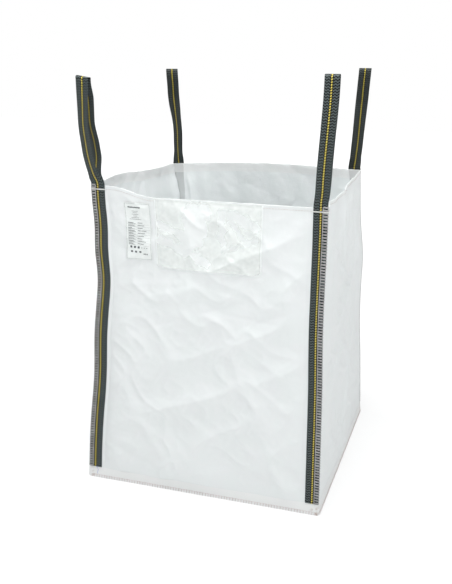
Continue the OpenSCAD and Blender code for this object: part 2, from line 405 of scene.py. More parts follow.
class Nodes:
    """Short names for building the nodes of a new material, or of a world."""

    def __init__(self, name, world=None):
        self.owner = world or bpy.data.materials.new(name)
        self.owner.use_nodes = True
        self.tree = self.owner.node_tree
        self.tree.nodes.clear()

    def add(self, kind, **inputs):
        """A new node. Each input is a socket's name, with _ for a space, or a setting's."""
        node = self.tree.nodes.new("ShaderNode" + kind)
        for key, value in inputs.items():
            target = key.replace("_", " ")
            if target in node.inputs:
                self.link(node.inputs[target], value)
            else:
                setattr(node, key, value)
        return node

    def link(self, socket, value):
        if isinstance(value, bpy.types.NodeSocket):
            self.tree.links.new(socket, value)
        elif socket.type == "RGBA":
            socket.default_value = (*value, 1.0)
        else:
            socket.default_value = value

    def fill(self, node, *values):
        for socket, value in zip(node.inputs, values):
            self.link(socket, value)
        return node

    def finish(self, shader, output="OutputMaterial"):
        self.link(self.add(output).inputs[0], shader.outputs[0])
        return self.owner

    def math(self, operation, *values):
        return self.fill(self.add("Math", operation=operation), *values).outputs[0]

    def times(self, a, b):
        return self.math("MULTIPLY", a, b)

    def plus(self, a, b):
        return self.math("ADD", a, b)

    def minus(self, a, b):
        return self.math("SUBTRACT", a, b)

    def vector(self, operation, *values, output="Vector"):
        return self.fill(self.add("VectorMath", operation=operation), *values).outputs[output]

    def mix(self, share, a, b):
        node = self.add("Mix", data_type="RGBA")
        for k, value in ((0, share), (6, a), (7, b)):
            self.link(node.inputs[k], value)
        return node.outputs[2]

    def blend(self, share, a, b):
        return self.fill(self.add("MixShader"), share, a.outputs[0], b.outputs[0])

    def place(self, kind="Object"):
        return self.add("TexCoord").outputs[kind]

    def uv(self):
        split = self.add("SeparateXYZ", Vector=self.place("UV"))
        return split.outputs[0], split.outputs[1]

    def scaled_uv(self, u, v):
        return self.add("Mapping", Vector=self.place("UV"), Scale=(u, v, 1)).outputs[0]

    def noise(self, vector, scale, detail=3.0, roughness=0.5):
        node = self.add("TexNoise", Vector=vector, Scale=scale, Detail=detail, Roughness=roughness)
        return node.outputs["Fac"]

    def bump(self, height, distance, strength=1.0, **below):
        return self.add("Bump", Height=height, Distance=distance, Strength=strength, **below).outputs[0]

    def ramp(self, value, low, high):
        """0 at low and 1 at high, and held there beyond them."""
        return self.add("MapRange", Value=value, From_Min=low, From_Max=high, clamp=True).outputs[0]


TAPE = 0.0026         # width of one woven tape
WEB_ROW = 0.0092      # one slanting row of the webbing's herringbone, along the webbing
WEB_COLUMN = 0.0060   # one column of the herringbone
WEB_SLANT = 0.0110    # how far a row runs across the webbing while it climbs by one row
STRIPE = 0.0025       # half the yellow stripe
GROOVE = 0.0050       # half the dark groove that the stripe lies in
STRIPE_TURN = 0.0086  # one turn of the stripe's cord
STRAP_SHADOW_REACH = (0.0215, 0.0475)   # how wide the painted shadow of a strap is, in from the wall's edge, low down and at the rim


def cloth_material(name, light, dark, through, smudge=False, strap_shadow=0.0):
    """Coated cloth of flat woven tapes: a fine plain weave, soft mottling, and light that passes through
    it. The last argument is how dark the painted shadow is where a strap sewn behind the cloth would block
    that light."""
    n = Nodes(name)
    u, v = n.uv()
    warp, weft = (n.math("SINE", n.times(way, math.pi / TAPE)) for way in (u, v))
    weave = n.times(warp, weft)
    spot = n.place()
    streak = n.noise(n.scaled_uv(380.0, 22.0), 1.0, 2.0)
    tone = n.plus(n.times(n.noise(spot, 9.0, 5.0, 0.6), 0.6), n.times(streak, 0.4))
    colour = n.mix(n.ramp(tone, 0.3, 0.7), dark, light)
    tint = n.ramp(n.noise(spot, 17.0, 3.0), 0.38, 0.62)
    warm = (light[0], light[1] * 0.968, light[2] * 0.990)
    colour = n.mix(n.times(tint, 0.55), colour, warm)
    # painted shade in the hollows of the weave
    colour = n.mix(n.ramp(n.times(weave, 0.5), 0.3, -0.3), colour, dark)
    if smudge:
        edge = n.times(n.ramp(n.math("ABSOLUTE", u), 0.410, 0.440), n.ramp(v, 0.045, 0.020))
        dirt = n.times(edge, n.ramp(n.noise(spot, 75.0, 4.0), 0.50, 0.68))
        colour = n.mix(n.times(dirt, 0.75), colour, (0.40, 0.28, 0.23))
    if strap_shadow:
        # painted shadow of the strap sewn behind the cloth, standing in for the light it blocks: widest and
        # darkest near the rim, narrower and fainter low down
        inside = n.minus(n.minus(FOOT, n.times(v, DRAW_IN / HEIGHT)), n.math("ABSOLUTE", u))
        near = n.ramp(v, HEIGHT - 0.20, HEIGHT - 0.02)
        over = n.minus(inside, n.plus(STRAP_SHADOW_REACH[0], n.times(near, STRAP_SHADOW_REACH[1] - STRAP_SHADOW_REACH[0])))
        strap = n.times(n.ramp(over, 0.0015, -0.0010), n.ramp(v, STRAP_FOOT, STRAP_FOOT + 0.004))
        strap = n.times(strap, n.plus(0.5, n.times(near, 0.5)))
        colour = n.mix(n.times(strap, strap_shadow), colour, (0.030, 0.034, 0.034))
    crush = n.bump(n.noise(spot, 42.0, 6.0, 0.65), 0.0026, 0.45)
    normal = n.bump(weave, 0.00022, 0.55, Normal=crush)
    cloth = n.add("BsdfPrincipled", Normal=normal, Base_Color=colour, Roughness=0.46,
                  Specular_IOR_Level=0.35, Sheen_Weight=0.12)
    glow = n.add("BsdfTranslucent", Normal=normal, Color=colour)
    return n.finish(n.blend(through, cloth, glow))


def webbing_material(name, light, yellow):
    """Charcoal herringbone webbing with one corded yellow stripe along its middle."""
    n = Nodes(name)
    u, v = n.uv()
    column = n.math("PINGPONG", u, WEB_COLUMN)
    rib = n.math("PINGPONG", n.plus(n.times(v, 1 / WEB_ROW), n.times(column, 1 / WEB_SLANT)), 0.5)
    yarn = n.noise(n.scaled_uv(900.0, 240.0), 1.0, 2.0)
    colour = n.mix(n.times(n.ramp(rib, 0.22, 0.30), n.plus(0.40, yarn)), (0.0035, 0.0046, 0.0046), light)
    middle = n.math("ABSOLUTE", n.minus(u, WEB_WIDTH / 2))
    groove, stripe = (n.math("LESS_THAN", middle, half) for half in (GROOVE, STRIPE))
    colour = n.mix(groove, colour, (0.005, 0.006, 0.006))
    strand = n.math("PINGPONG", n.plus(n.times(v, 1 / STRIPE_TURN), n.times(u, 60.0)), 0.5)
    cord = n.mix(n.ramp(strand, 0.18, 0.28), (0.030, 0.026, 0.008), yellow)
    colour = n.mix(stripe, colour, cord)
    height = n.plus(n.times(rib, n.minus(1.0, groove)), n.times(n.times(strand, 2.2), stripe))
    return n.finish(n.add("BsdfPrincipled", Normal=n.bump(height, 0.0009, 0.9), Base_Color=colour,
                          Roughness=0.62, Specular_IOR_Level=0.18, Sheen_Weight=0.03))


def thread_material(name, light, dark):
    """Plied thread: a slanting twist, and a tone that wanders along its length."""
    n = Nodes(name)
    u, v = n.uv()
    twist = n.math("SINE", n.plus(n.times(v, 2200.0), n.times(u, 1570.0)))
    colour = n.mix(n.ramp(n.noise(n.place(), 55.0, 4.0), 0.38, 0.66), dark, light)
    # painted shade in the hollows of the twist
    colour = n.mix(n.ramp(twist, -0.2, -1.0), colour, dark)
    return n.finish(n.add("BsdfPrincipled", Normal=n.bump(twist, 0.0003, 0.7), Base_Color=colour,
                          Roughness=0.62, Sheen_Weight=0.2))


def paper_material(name, light, dark, roughness):
    """Printed film or its ink: slight mottling and a faint orange-peel surface."""
    n = Nodes(name)
    spot = n.place()
    colour = n.mix(n.ramp(n.noise(spot, 70.0, 4.0), 0.35, 0.65), dark, light)
    normal = n.bump(n.noise(spot, 160.0, 3.0), 0.0004, 0.35)
    return n.finish(n.add("BsdfPrincipled", Normal=normal, Base_Color=colour, Roughness=roughness))


def film_material(name, clear_share, glare_share, windows):
    """Clear crinkled film: a white haze in patches, partly the film's own milkiness and partly a painted
    reflection of the lamps on its wrinkles, and clear in the windows between them. A window is a band from
    one point to another, with a half-width."""
    n = Nodes(name)
    u, v = n.uv()
    spot = n.place("UV")
    ragged = n.times(n.minus(n.noise(spot, 26.0, 2.0), 0.5), 0.050)
    drift = n.times(n.minus(n.noise(spot, 33.0, 1.0), 0.5), 0.035)
    place = n.add("CombineXYZ", X=n.plus(u, ragged), Y=n.plus(v, drift)).outputs[0]
    # the film's own haze and a painted reflection of the lamps on its wrinkles, in bright patches cut by
    # the clear windows
    glare = n.plus(0.62, n.times(0.38, n.ramp(n.noise(spot, 20.0, 2.0), 0.40, 0.60)))
    for start, end, half in windows:
        run = np.array([end[0] - start[0], end[1] - start[1], 0.0])
        offset = n.vector("SUBTRACT", place, (start[0], start[1], 0.0))
        share = n.ramp(n.vector("DOT_PRODUCT", offset, tuple(run / (run @ run)), output="Value"), 0.0, 1.0)
        on_run = n.add("VectorMath", operation="SCALE", Vector=tuple(run), Scale=share).outputs[0]
        apart = n.vector("DISTANCE", offset, on_run, output="Value")
        glare = n.times(glare, n.ramp(apart, 0.70 * half, 1.05 * half))
    crinkle = n.noise(spot, 12.0, 2.0, 0.5)
    film = n.add("BsdfPrincipled", Normal=n.bump(crinkle, 0.004, 0.15), Roughness=0.16, IOR=1.5,
                 Base_Color=n.mix(crinkle, (0.93, 0.965, 0.950), (0.95, 0.98, 0.965)),
                 Coat_Weight=0.2, Specular_IOR_Level=0.3)
    return n.finish(n.blend(n.plus(clear_share, n.times(glare, glare_share)), n.add("BsdfTransparent"), film))


# Each cloth's light tone, dark tone, and share of light that passes through
WOVEN = ((0.875, 0.908, 0.906), (0.830, 0.866, 0.866), 0.11)
FOLDED = ((0.920, 0.935, 0.930), (0.880, 0.898, 0.892), 0.16)
woven = cloth_material("woven_fabric", *WOVEN)
# this copy carries a painted shadow of the straps sewn behind the cloth
woven_strap_shadowed = cloth_material("woven_fabric_strap_shadowed", *WOVEN, strap_shadow=0.42)
folded = cloth_material("folded_fabric", *FOLDED, smudge=True)
# this copy carries a painted shadow of the straps sewn behind the cloth
folded_strap_shadowed = cloth_material("folded_fabric_strap_shadowed", *FOLDED, strap_shadow=0.22)
frosted = cloth_material("frosted_film", (0.905, 0.940, 0.935), (0.875, 0.912, 0.908), 0.11)
webbing = webbing_material("webbing", (0.105, 0.129, 0.129), (0.74, 0.61, 0.12))
# a darker copy of the same webbing for the back straps: painted shade
shaded_webbing = webbing_material("webbing_painted_shade", (0.052, 0.063, 0.061), (0.50, 0.41, 0.07))
seam_thread = thread_material("seam_thread", (0.52, 0.515, 0.515), (0.30, 0.295, 0.295))
pale_thread = thread_material("pale_thread", (0.80, 0.745, 0.735), (0.66, 0.60, 0.59))
blue_thread = thread_material("blue_thread", (0.42, 0.46, 0.78), (0.30, 0.33, 0.62))
white_thread = thread_material("white_thread", (0.80, 0.81, 0.80), (0.60, 0.60, 0.58))
hem_thread = thread_material("hem_thread", (0.74, 0.71, 0.68), (0.58, 0.53, 0.50))
label_film = paper_material("label_film", (0.800, 0.835, 0.825), (0.755, 0.795, 0.785), 0.42)
ink = paper_material("label_ink", (0.10, 0.11, 0.12), (0.05, 0.06, 0.07), 0.5)


# ---------------- the cloth

GRID = 0.0060         # spacing of a sheet's points
FLOOR_GAP = 0.0022    # the walls start this far above the floor


def make_wall(side):
    """One wall, from the base to the rim, in one layer of cloth."""
    share = np.linspace(-1, 1, int(2 * FOOT / GRID))[None, :]
    up = np.linspace(0, 1, int(HEIGHT / GRID))[:, None]
    rim = rim_height(side, share * RIM) - 0.0012
    z = FLOOR_GAP + (rim - FLOOR_GAP) * up
    x = share * half_width(z)
    name = SIDES[side]
    outer, inner = on_wall(side, x, z), on_wall(side, x * 0.9985, z, -SHEET)
    # the front and back walls take the cloth with the painted strap shadow
    piece = build_sheet(name + "_wall_cloth", woven if side % 2 else woven_strap_shadowed,
                        [name + "_panel"], outer, inner, (x, z), "bag")


def make_base():
    """The base lies on the floor, with a few soft swells in its middle."""
    across = np.linspace(-1, 1, 100)
    x, y = np.meshgrid(across * (FOOT + 0.0005), across * (FOOT + 0.0005))
    middle = np.clip((1 - np.abs(x) / FOOT) * (1 - np.abs(y) / FOOT) * 8, 0, 1)
    swell = 0.0055 * np.abs(noise(x / 0.16, y / 0.20, 61)) + 0.0015 * np.abs(noise(x / 0.05, y / 0.05, 62))
    z = 0.0013 + middle * swell
    corner = {name: corner_edge(name, 0.0) for name in CORNERS}
    s, t = (x / FOOT + 1) / 2, (y / FOOT + 1) / 2
    place = [corner["front_left"][k] * (1 - s) * (1 - t) + corner["front_right"][k] * s * (1 - t)
             + corner["back_left"][k] * (1 - s) * t + corner["back_right"][k] * s * t for k in (0, 1)]
    top = np.stack([place[0], place[1], z + SHEET], -1)
    under = np.stack([place[0], place[1], z], -1)
    piece = build_sheet("base_cloth", woven, ["base_panel"],
                        top, under, (x, y), "bag")


def other_face(side, outer, row):
    """The inner face of a folded sheet, one layer behind its outer face, which looks out of
    the bag at the given row."""
    lift = unit(np.cross(ALONG[side], np.gradient(outer, axis=0)))
    sign = 1.0 if float(lift[row, 0] @ OUT[side]) > 0 else -1.0
    return outer - sign * lift * SHEET


def make_hem(side):
    """The top of a wall rolled over to the inside and down to its raw edge."""
    x = np.linspace(-1, 1, int(2 * RIM / GRID))[None, :] * (RIM - 0.0006)
    rim = rim_height(side, x)
    roll = 0.0013
    turn = np.linspace(0, math.pi, 7)
    outs = np.concatenate([[0.0], -roll + roll * np.cos(turn), np.linspace(-1.7 * roll, -1.06 * SHEET, 6)])
    drops = np.concatenate([[roll + 0.0012], roll - roll * np.sin(turn), np.linspace(0.008, HEM, 6)])
    outs, drops = outs[:, None], drops[:, None]
    puff = 0.0009 * noise(x / 0.013, side, 71) * hill(drops, 0.0, 0.008)
    edge = 0.0010 * noise(x / 0.03, side, 72) * smooth(drops, 0.02, HEM)
    z = rim - drops + puff + edge
    outer = on_wall(side, x, z, outs + puff)
    inner = other_face(side, outer, 0)
    name = SIDES[side]
    # turned round, the rows run upward on the outside
    # the front and back hems take the cloth with the painted strap shadow
    piece = build_sheet(name + "_hem_cloth", folded if side % 2 else folded_strap_shadowed,
                        [name + "_hem"], outer[::-1], inner[::-1], (x, HEIGHT - drops[::-1]), "bag")


def make_base_fold(side):
    """The base cloth turned up round the foot of a wall."""
    reach = FOOT + 0.0010
    x = np.linspace(-1, 1, int(2 * FOOT / GRID))[None, :]
    bend = np.linspace(0, math.pi / 2, 5)
    radius = 0.0012
    lean = np.linspace(0.0034, -0.0007, 6)
    outs = np.concatenate([[-0.030, -0.018, -0.008], radius * np.sin(bend) + lean[0], radius + lean])
    heights = np.concatenate([[0.0011] * 3, 0.0011 + radius * (1 - np.cos(bend)),
                              np.linspace(0.007, FOLD_TOP, 6)])
    outs, heights = outs[:, None], heights[:, None]
    ragged = 0.0012 * noise(x * reach / 0.045, side, 81) * smooth(heights, 0.02, FOLD_TOP)
    loose = 0.0010 * np.abs(noise(x * reach / 0.06, side, 82)) * smooth(heights, 0.015, FOLD_TOP)
    z = heights + ragged
    grid = x * (reach + np.clip(outs, -0.03, 0))
    # the cloth is soft enough to round the bag's corners
    round_in = 0.0040 * smooth(np.abs(x), 0.985, 1.0) * smooth(heights, 0.030, 0.0)
    outer = on_wall(side, grid, z, outs + loose - round_in)
    inner = other_face(side, outer, -1)
    inner[..., 2] = np.maximum(inner[..., 2], 0.0002)
    name = SIDES[side]
    piece = build_sheet(name + "_base_fold_cloth", folded, [name + "_base_fold"],
                        outer, inner, (grid, heights), "bag")


# ---------------- the stitching

def chain(shape, side, x, z, radius, rise, out, swings):
    """Two threads that twist round each other: rise and out are how far they swing."""
    for phase in (0.0, 0.5):
        swing = 2 * math.pi * (swings + phase)
        across, up = rise
        shape.thread(side, x + across * np.sin(swing), z + up * np.sin(swing),
                     STACK + out[0] + out[1] * np.cos(swing), radius, 6)


def make_rim_stitches(side):
    """A row of stitches that holds the hem; over the straps it is a thick white chain."""
    shape = Shape()
    pitch, length = 0.0098, 0.0080
    reach = RIM - (WEB_WIDTH + 0.002 if side % 2 == 0 else 0.002)
    starts = spaced(-reach, reach - pitch, pitch)[:, None]
    share = np.linspace(0, 1, 6)[None, :]
    x = starts + share * length
    sink = 0.0011 * (2 * share - 1) ** 4 + 0 * x
    z = rim_height(side, x) - STITCH_DROP + 0.0004 * noise(starts / 0.01, 1, 91)
    shape.thread(side, x, z, 0.0009 - sink, 0.00062)
    name = SIDES[side]
    shape.build(name + "_rim_stitches", hem_thread, [name + "_rim_stitching"], "bag")
    if side % 2:
        return
    shape = Shape()
    for hand in (-1, 1):
        x = hand * (RIM + 0.0010 - np.linspace(0, 1, 60) * (WEB_WIDTH + 0.004))[None, :]
        z = rim_height(side, x) - STITCH_DROP
        chain(shape, side, x, z, 0.0012, (0.0, 0.0012), (0.0012, 0.0008), x / 0.0105)
    shape.build(name + "_strap_cross_stitches", white_thread, [], "bag")


def make_base_overlock(side):
    """Short overlock stitches along the foot of a wall."""
    shape = Shape()
    pitch, rise = 0.0105, 0.0120
    at = spaced(-FOOT + 0.012, FOOT - 0.012, pitch)[:, None]
    share = np.linspace(0, 1, 6)[None, :]
    jitter = 0.0008 * noise(at / 0.005, side, 101)
    for lean in (-0.0016, 0.0016):
        x = at + lean * share + jitter
        z = 0.0010 + share * (rise + 0.0008 * noise(at / 0.004, side, 102))
        out = 0.0055 - 0.0008 * (2 * share - 1) ** 4 - 0.0010 * share
        shape.thread(side, x, z, out, 0.00065)
    x = np.linspace(-FOOT + 0.012, FOOT - 0.012, 700)[None, :]
    z = rise + 0.0006 * np.sin(2 * math.pi * x / pitch)
    shape.thread(side, x, z, 0.0045, 0.0006)
    name = SIDES[side]
    shape.build(name + "_base_overlock", pale_thread, [name + "_base_seam"], "bag")


def make_thread_tail():
    """The end of the left strap's sewing thread, caught against the base fold."""
    t = np.linspace(0, 1, 40)[None, :]
    x = -half_width(0) + 0.030 + 0.010 * t + 0.004 * np.sin(5.5 * t)
    z = STRAP_FOOT + 0.004 - 0.037 * t - 0.003 * np.sin(4.0 * t)
    shape = Shape()
    shape.thread(FRONT, x, z, STACK * np.clip(1 - 6 * t, 0, 1) + 0.0032, 0.0007, 6)
    shape.build("front_left_thread_tail", blue_thread, [], "bag")


def strap_place(corner):
    """The wall that a corner's strap is sewn to, and the end of that wall it is at."""
    side = 0 if corner.startswith("front") else 2
    return side, (-1 if CORNERS[side] == corner else 1)


def make_corner_overlock(corner):
    """The overlock stitches that bind the corner's seam and the strap's outer edge."""
    side, hand = strap_place(corner)
    shape = Shape()
    pitch, reach = 0.0100, 0.0160
    top = float(rim_height(side, hand * RIM)) + 0.003
    at = spaced(STRAP_FOOT + 0.004, top, pitch)[:, None]
    e = np.array([reach, 0.012, 0.007, 0.0025, -0.0006, -0.0012, -0.0008])[None, :]
    out = STACK + np.array([0.0002, 0.0010, 0.0012, 0.0010, 0.0001, -0.0018, -0.0034])[None, :]
    spread = np.linspace(0.4, 1.0, 7)[None, :]
    for strand in (-1, 0, 1):
        jitter = 0.0006 * noise(at / 0.004, strand, 111)
        z = at + strand * 0.0022 * spread + jitter * spread + 0.0015 * (1 - spread)
        x = hand * (half_width(z) - e)
        shape.tubes(on_wall(side, x, z, out), 0.00115, ALONG[side] * 0.3 + np.array((0, 0, 1.0)), 6)
    z = np.linspace(STRAP_FOOT + 0.001, top, 620)[None, :]
    x = hand * (half_width(z) - reach)
    chain(shape, side, x, z, 0.0010, (-hand * 0.0007, 0.0), (0.0010, 0.0007), z / pitch)
    shape.build(corner + "_corner_overlock", seam_thread, [corner + "_corner_seam"], "bag")


# ---------------- the straps

# How each free loop stands: its sideways lean as (amount, from height, to height), the turn
# of its webbing low down and at the crown and the heights it twists between, how far its inner
# leg slips sideways low down and at the crown, how far apart the legs hang, how far below the
# crown they part, the radius of the fold there, how far it tips to the right, and how much
# the stitches draw the webbing's width in.
USUAL = {"slips": (0.0, 0.0), "crown": CROWN, "tip": 0, "width": 1.0}
LOOPS = {
    "front_left": {
        **USUAL, "leans": [(-0.0455, -0.06, 0.125), (-0.0155, 0.08, 0.23)], "turn": (20, 3),
        "twist": (0.22, 0.40), "gap": 0.0335, "part": 0.070, "crown": 0.0090, "tip": 9},
    "front_right": {
        **USUAL, "leans": [(0.0035, 0.0, 0.06), (0.0195, 0.02, 0.44)], "turn": (0, 0),
        "twist": (0.17, 0.34), "gap": 0.006, "part": 0.195, "slips": (0.0020, -0.003), "width": 0.96},
    "back_right": {
        **USUAL, "leans": [(0.064, -0.45, 0.90)], "turn": (-34, -8),
        "twist": (0.16, 0.34), "gap": 0.004, "part": 0.140},
    "back_left": {
        **USUAL, "leans": [(-0.002, 0.0, 0.05), (-0.022, 0.12, 0.34), (-0.005, 0.33, 0.43)],
        "turn": (24, -20), "twist": (0.18, 0.33), "gap": 0.004, "part": 0.120, "slips": (0.001, 0.0)},
}
# The webbing's section: places across it, and how much of its full thickness it has there
ACROSS = np.array([0, 0.0004, 0.0012, 0.006, 0.012, 0.018, 0.0215, 0.025,
                   0.0285, 0.032, 0.038, 0.044, 0.0488, 0.0496, WEB_WIDTH])
BULK = np.array([0.2, 0.66, 0.95, 1, 1, 1, 1, 1, 1, 1, 1, 1, 0.95, 0.66, 0.2])
INNER_SLIP = 0.0012   # the inner run is sewn this much nearer the wall's middle


def squared(t):
    """Bends a circle's sine or cosine towards a square's, for the stiff fold at a crown."""
    return np.sign(t) * np.abs(t) ** 0.62


def make_strap(corner):
    """One length of webbing: sewn up the wall, over the free loop, and down again beneath."""
    side, hand = strap_place(corner)
    loop = LOOPS[corner]
    eye = next(m for m in frame["record"]["mounts"] if m["name"] == corner + "_eye")
    crown = loop["crown"]
    crown_z = eye["pos_m"][2] + CROWN - crown   # however tight its fold, a loop is as high
    rim = float(rim_height(side, hand * (RIM - WEB_WIDTH / 2)))
    outer_out, inner_out = 1.5 * WEB + 0.0003, 0.5 * WEB + 0.0001

    def sewn(z, out, slip):
        z = z[:, None]
        inset = loop["width"] * ACROSS[None, :] + slip
        return on_wall(side, hand * (half_width(z) - inset), z, out)

    def free(z, out, slip):
        """Straight up from the rim, leaning sideways and turning as the loop does."""
        up = z - rim
        start = on_wall(side, hand * (RIM - loop["width"] * WEB_WIDTH / 2), rim, 0.0)
        centre = np.zeros((len(z), 3)) + start
        centre[:, 2] = z
        low_turn, top_turn = np.radians(loop["turn"])
        turn = low_turn * smooth(up, 0.0, 0.06) + (top_turn - low_turn) * smooth(up, *loop["twist"])
        turned = np.cos(turn)[:, None] * OUT[side] - np.sin(turn)[:, None] * ALONG[side]
        centre += turned * out[:, None]
        centre[:, 0] += slip
        for amount, *heights in loop["leans"]:
            centre[:, 0] += amount * (smooth(up, *heights) - smooth(0, *heights))
        wide = -hand * (np.cos(turn)[:, None] * ALONG[side] + np.sin(turn)[:, None] * OUT[side])
        tip = math.radians(loop["tip"]) * smooth(z, crown_z - 0.10, crown_z)
        wide[:, 2] -= np.sin(tip) * np.sign(wide[:, 0])
        return centre, wide

    low = spaced(STRAP_FOOT, rim, 0.008)
    leg = spaced(rim + 0.004, crown_z, 0.005)[:-1]
    turn = np.linspace(0, math.pi, 41)
    bow_z = np.concatenate([leg, crown_z + crown * squared(np.sin(turn)), leg[::-1]])
    fall = smooth(leg, crown_z - loop["part"], crown_z)
    apart = loop["gap"] * smooth(leg, rim + 0.005, rim + 0.115) * (1 - fall)
    apart *= 1.2 - 0.3 * smooth(leg, rim + 0.14, rim + 0.24)
    inner_leg = inner_out - apart - (2 * crown - outer_out + inner_out) * fall
    crown_out = outer_out - crown + crown * squared(np.cos(turn))
    bow_out = np.concatenate([np.full(len(leg), outer_out), crown_out, inner_leg[::-1]])
    low_slip, top_slip = loop["slips"]
    inner_slip = low_slip * smooth(leg, rim, rim + 0.10) * (1 - fall) + top_slip * fall
    bow_slip = np.concatenate([0 * leg, top_slip * smooth(turn, 0, math.pi), inner_slip[::-1]])
    centre, wide = free(bow_z, bow_out, bow_slip)
    ahead = unit(np.gradient(centre, axis=0))
    wide = unit(wide - (wide * ahead).sum(1, keepdims=True) * ahead)
    bow = centre[:, None] + loop["width"] * (ACROSS - WEB_WIDTH / 2)[None, :, None] * wide[:, None]
    face = hand * np.cross(ahead, wide)
    # over its first centimetres the loop still lies as it is sewn
    for rows, out, slip in ((slice(0, len(leg)), outer_out, 0.0),
                            (slice(-len(leg), None), inner_out, INNER_SLIP)):
        z = bow_z[rows]
        share = smooth(z, rim, rim + 0.035)[:, None, None]
        bow[rows] = sewn(z, out, slip) * (1 - share) + bow[rows] * share
    up_run, down_run = sewn(low, outer_out, 0.0), sewn(low[::-1], inner_out, INNER_SLIP)
    stations = np.concatenate([up_run, bow, down_run])
    sewn_face = np.zeros((len(low), 3)) + OUT[side]
    faces = np.concatenate([sewn_face, face, -sewn_face])
    thick = (BULK * WEB / 2)[None, :, None] * faces[:, None]
    rings = np.concatenate([stations + thick, (stations - thick)[:, ::-1]], axis=1)
    around = np.concatenate([ACROSS, ACROSS[::-1], ACROSS[:1]])
    shape = Shape()
    shape.sweeps(rings[None], around, run_lengths(stations[:, 7]))
    nodes = [corner + suffix for suffix in ("_strap_inner_run", "_strap_outer_run", "_lifting_loop")]
    # the back straps take the darker copy of the webbing, painted shade
    look = webbing if side == FRONT else shaded_webbing
    piece = shape.build(corner + "_strap", look, nodes)
    hang(piece, corner + "_loop", -0.030)


# ---------------- the label and the pouch

label_low, label_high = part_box("label_card")
LABEL_X = (label_low.x + label_high.x) / 2
LABEL_W = label_high.x - label_low.x
LABEL_TOP, LABEL_FOOT = label_high.z, label_low.z
pouch_low, pouch_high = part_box("pouch_front_film")
POUCH_X = (pouch_low.x + pouch_high.x) / 2
POUCH_W = pouch_high.x - pouch_low.x
POUCH_TOP, POUCH_FOOT = pouch_high.z, pouch_low.z
POUCH_ROUND = 0.018   # radius of its lower corners
LABEL_BEND, POUCH_BEND = 0.018, 0.024   # the reach passed to hang for the label and the pouch
# Clear windows in the film's haze and painted reflection: shares of the pouch's width and depth, and a
# half-width
CLEAR_WINDOWS = ((0.04, 0.36, 0.27, 0.50, 0.017), (0.06, 0.58, 0.50, 0.86, 0.018), (0.37, 0.14, 0.33, 0.62, 0.034),
          (0.47, 0.10, 0.42, 0.56, 0.024), (0.64, 0.14, 0.62, 0.55, 0.017), (0.73, 0.16, 0.92, 0.30, 0.024),
          (0.72, 0.28, 0.86, 0.55, 0.011), (0.66, 0.66, 0.95, 0.48, 0.009))


def on_label(x, drop, lift=0.0):
    """Points on the label: x from its left edge and drop from its top."""
    fall = drop / (LABEL_TOP - LABEL_FOOT)
    curl = 0.0022 * fall ** 3 + 0.0012 * np.sin(3.2 * fall + 14 * x) * fall
    return on_wall(FRONT, LABEL_X - LABEL_W / 2 + x, LABEL_TOP - drop, 0.0011 + np.abs(curl) + lift)


def make_label():
    """The printed sheet, its print in thin raised bars, and the stitches along its top."""
    height = LABEL_TOP - LABEL_FOOT
    x = np.linspace(0, LABEL_W, 28)[None, :]
    drop = np.linspace(height, 0, 54)[:, None]
    outer, inner = on_label(x, drop, 0.0003), on_label(x, drop)
    card = build_sheet("label_sheet", label_film, ["label_card"], outer, inner, (x, drop))
    hang(card, "label", LABEL_BEND)
    # generic print: a heading, lines like text, a two-column table and rows of marks
    marks = [(0.003, 0.004, LABEL_W - 0.006, 0.0006), (0.003, height - 0.004, LABEL_W - 0.006, 0.0006)]
    edges = [(0.003, 0.004, 0.0006, height - 0.008), (LABEL_W - 0.0036, 0.004, 0.0006, height - 0.008)]
    bars = []
    at = 0.014
    for k in range(9):
        wide = 0.0052 + 0.0018 * float(lattice(np.array(k), np.array(0), 5))
        bars.append((at, 0.0155 + 0.0006 * (k % 2), wide, 0.0042))
        at += wide + 0.0006
    for k in range(6):
        wide = (0.024, 0.018, 0.026, 0.016, 0.030, 0.046)[k]
        bars.append((0.040 - wide / 2, 0.031 + 0.0058 * k, wide, 0.0011))
    for k in range(9):
        row = 0.072 + 0.0092 * k
        left = 0.019 + 0.006 * float(lattice(np.array(k), np.array(1), 6))
        right = 0.024 + 0.011 * float(lattice(np.array(k), np.array(2), 6))
        bars += [(0.010, row, left, 0.0018), (0.047, row, right, 0.0018)]
        marks.append((0.008, row + 0.0058, LABEL_W - 0.016, 0.00035))
    for k in range(3):
        bars += [(0.017 + 0.0155 * k, 0.155, 0.0085, 0.0075), (0.020 + 0.0170 * k, 0.172, 0.0080, 0.0065)]
        bars.append((0.064 + 0.010 * k, 0.158, 0.0030, 0.0025))
        bars.append((0.070 + 0.006 * k, 0.180, 0.0035, 0.0050))
    for k in range(9):
        bars.append((0.010, 0.0755 + 0.0092 * k, 0.030 - 0.002 * (k % 3), 0.0010))
    shape = Shape()
    for left, top, wide, tall in bars + marks + edges:
        x = np.linspace(left, left + wide, int(wide / 0.004) + 2)[None, :]
        drop = np.linspace(top + tall, top, int(tall / 0.004) + 2)[:, None]
        shape.shell(on_label(x, drop, 0.00042), on_label(x, drop, 0.00028), (x, drop))
    hang(shape.build("label_print", ink, []), "label", LABEL_BEND)
    shape = Shape()
    starts = spaced(LABEL_X - LABEL_W / 2 + 0.002, LABEL_X + LABEL_W / 2 - 0.006, 0.0052)[:, None]
    share = np.linspace(0, 1, 5)[None, :]
    out = 0.0022 - 0.0012 * (2 * share - 1) ** 4
    row = LABEL_TOP + 0.0015
    shape.thread(FRONT, starts + share * 0.004, row, out, 0.0004)
    shape.build("label_stitches", white_thread, ["label_stitching"], "bag")


def film_wrinkles(x, z, seed):
    """Sharp soft-sided wrinkles of thin film, at least 0."""
    a = noise((x + 0.8 * z) / 0.080, (z - x) / 0.25, seed)
    b = 1 - np.abs(noise(x / 0.13 + 0.3 * z / 0.13, z / 0.18, seed + 1))
    return 0.0014 * (1 + a) + 0.0010 * b ** 2


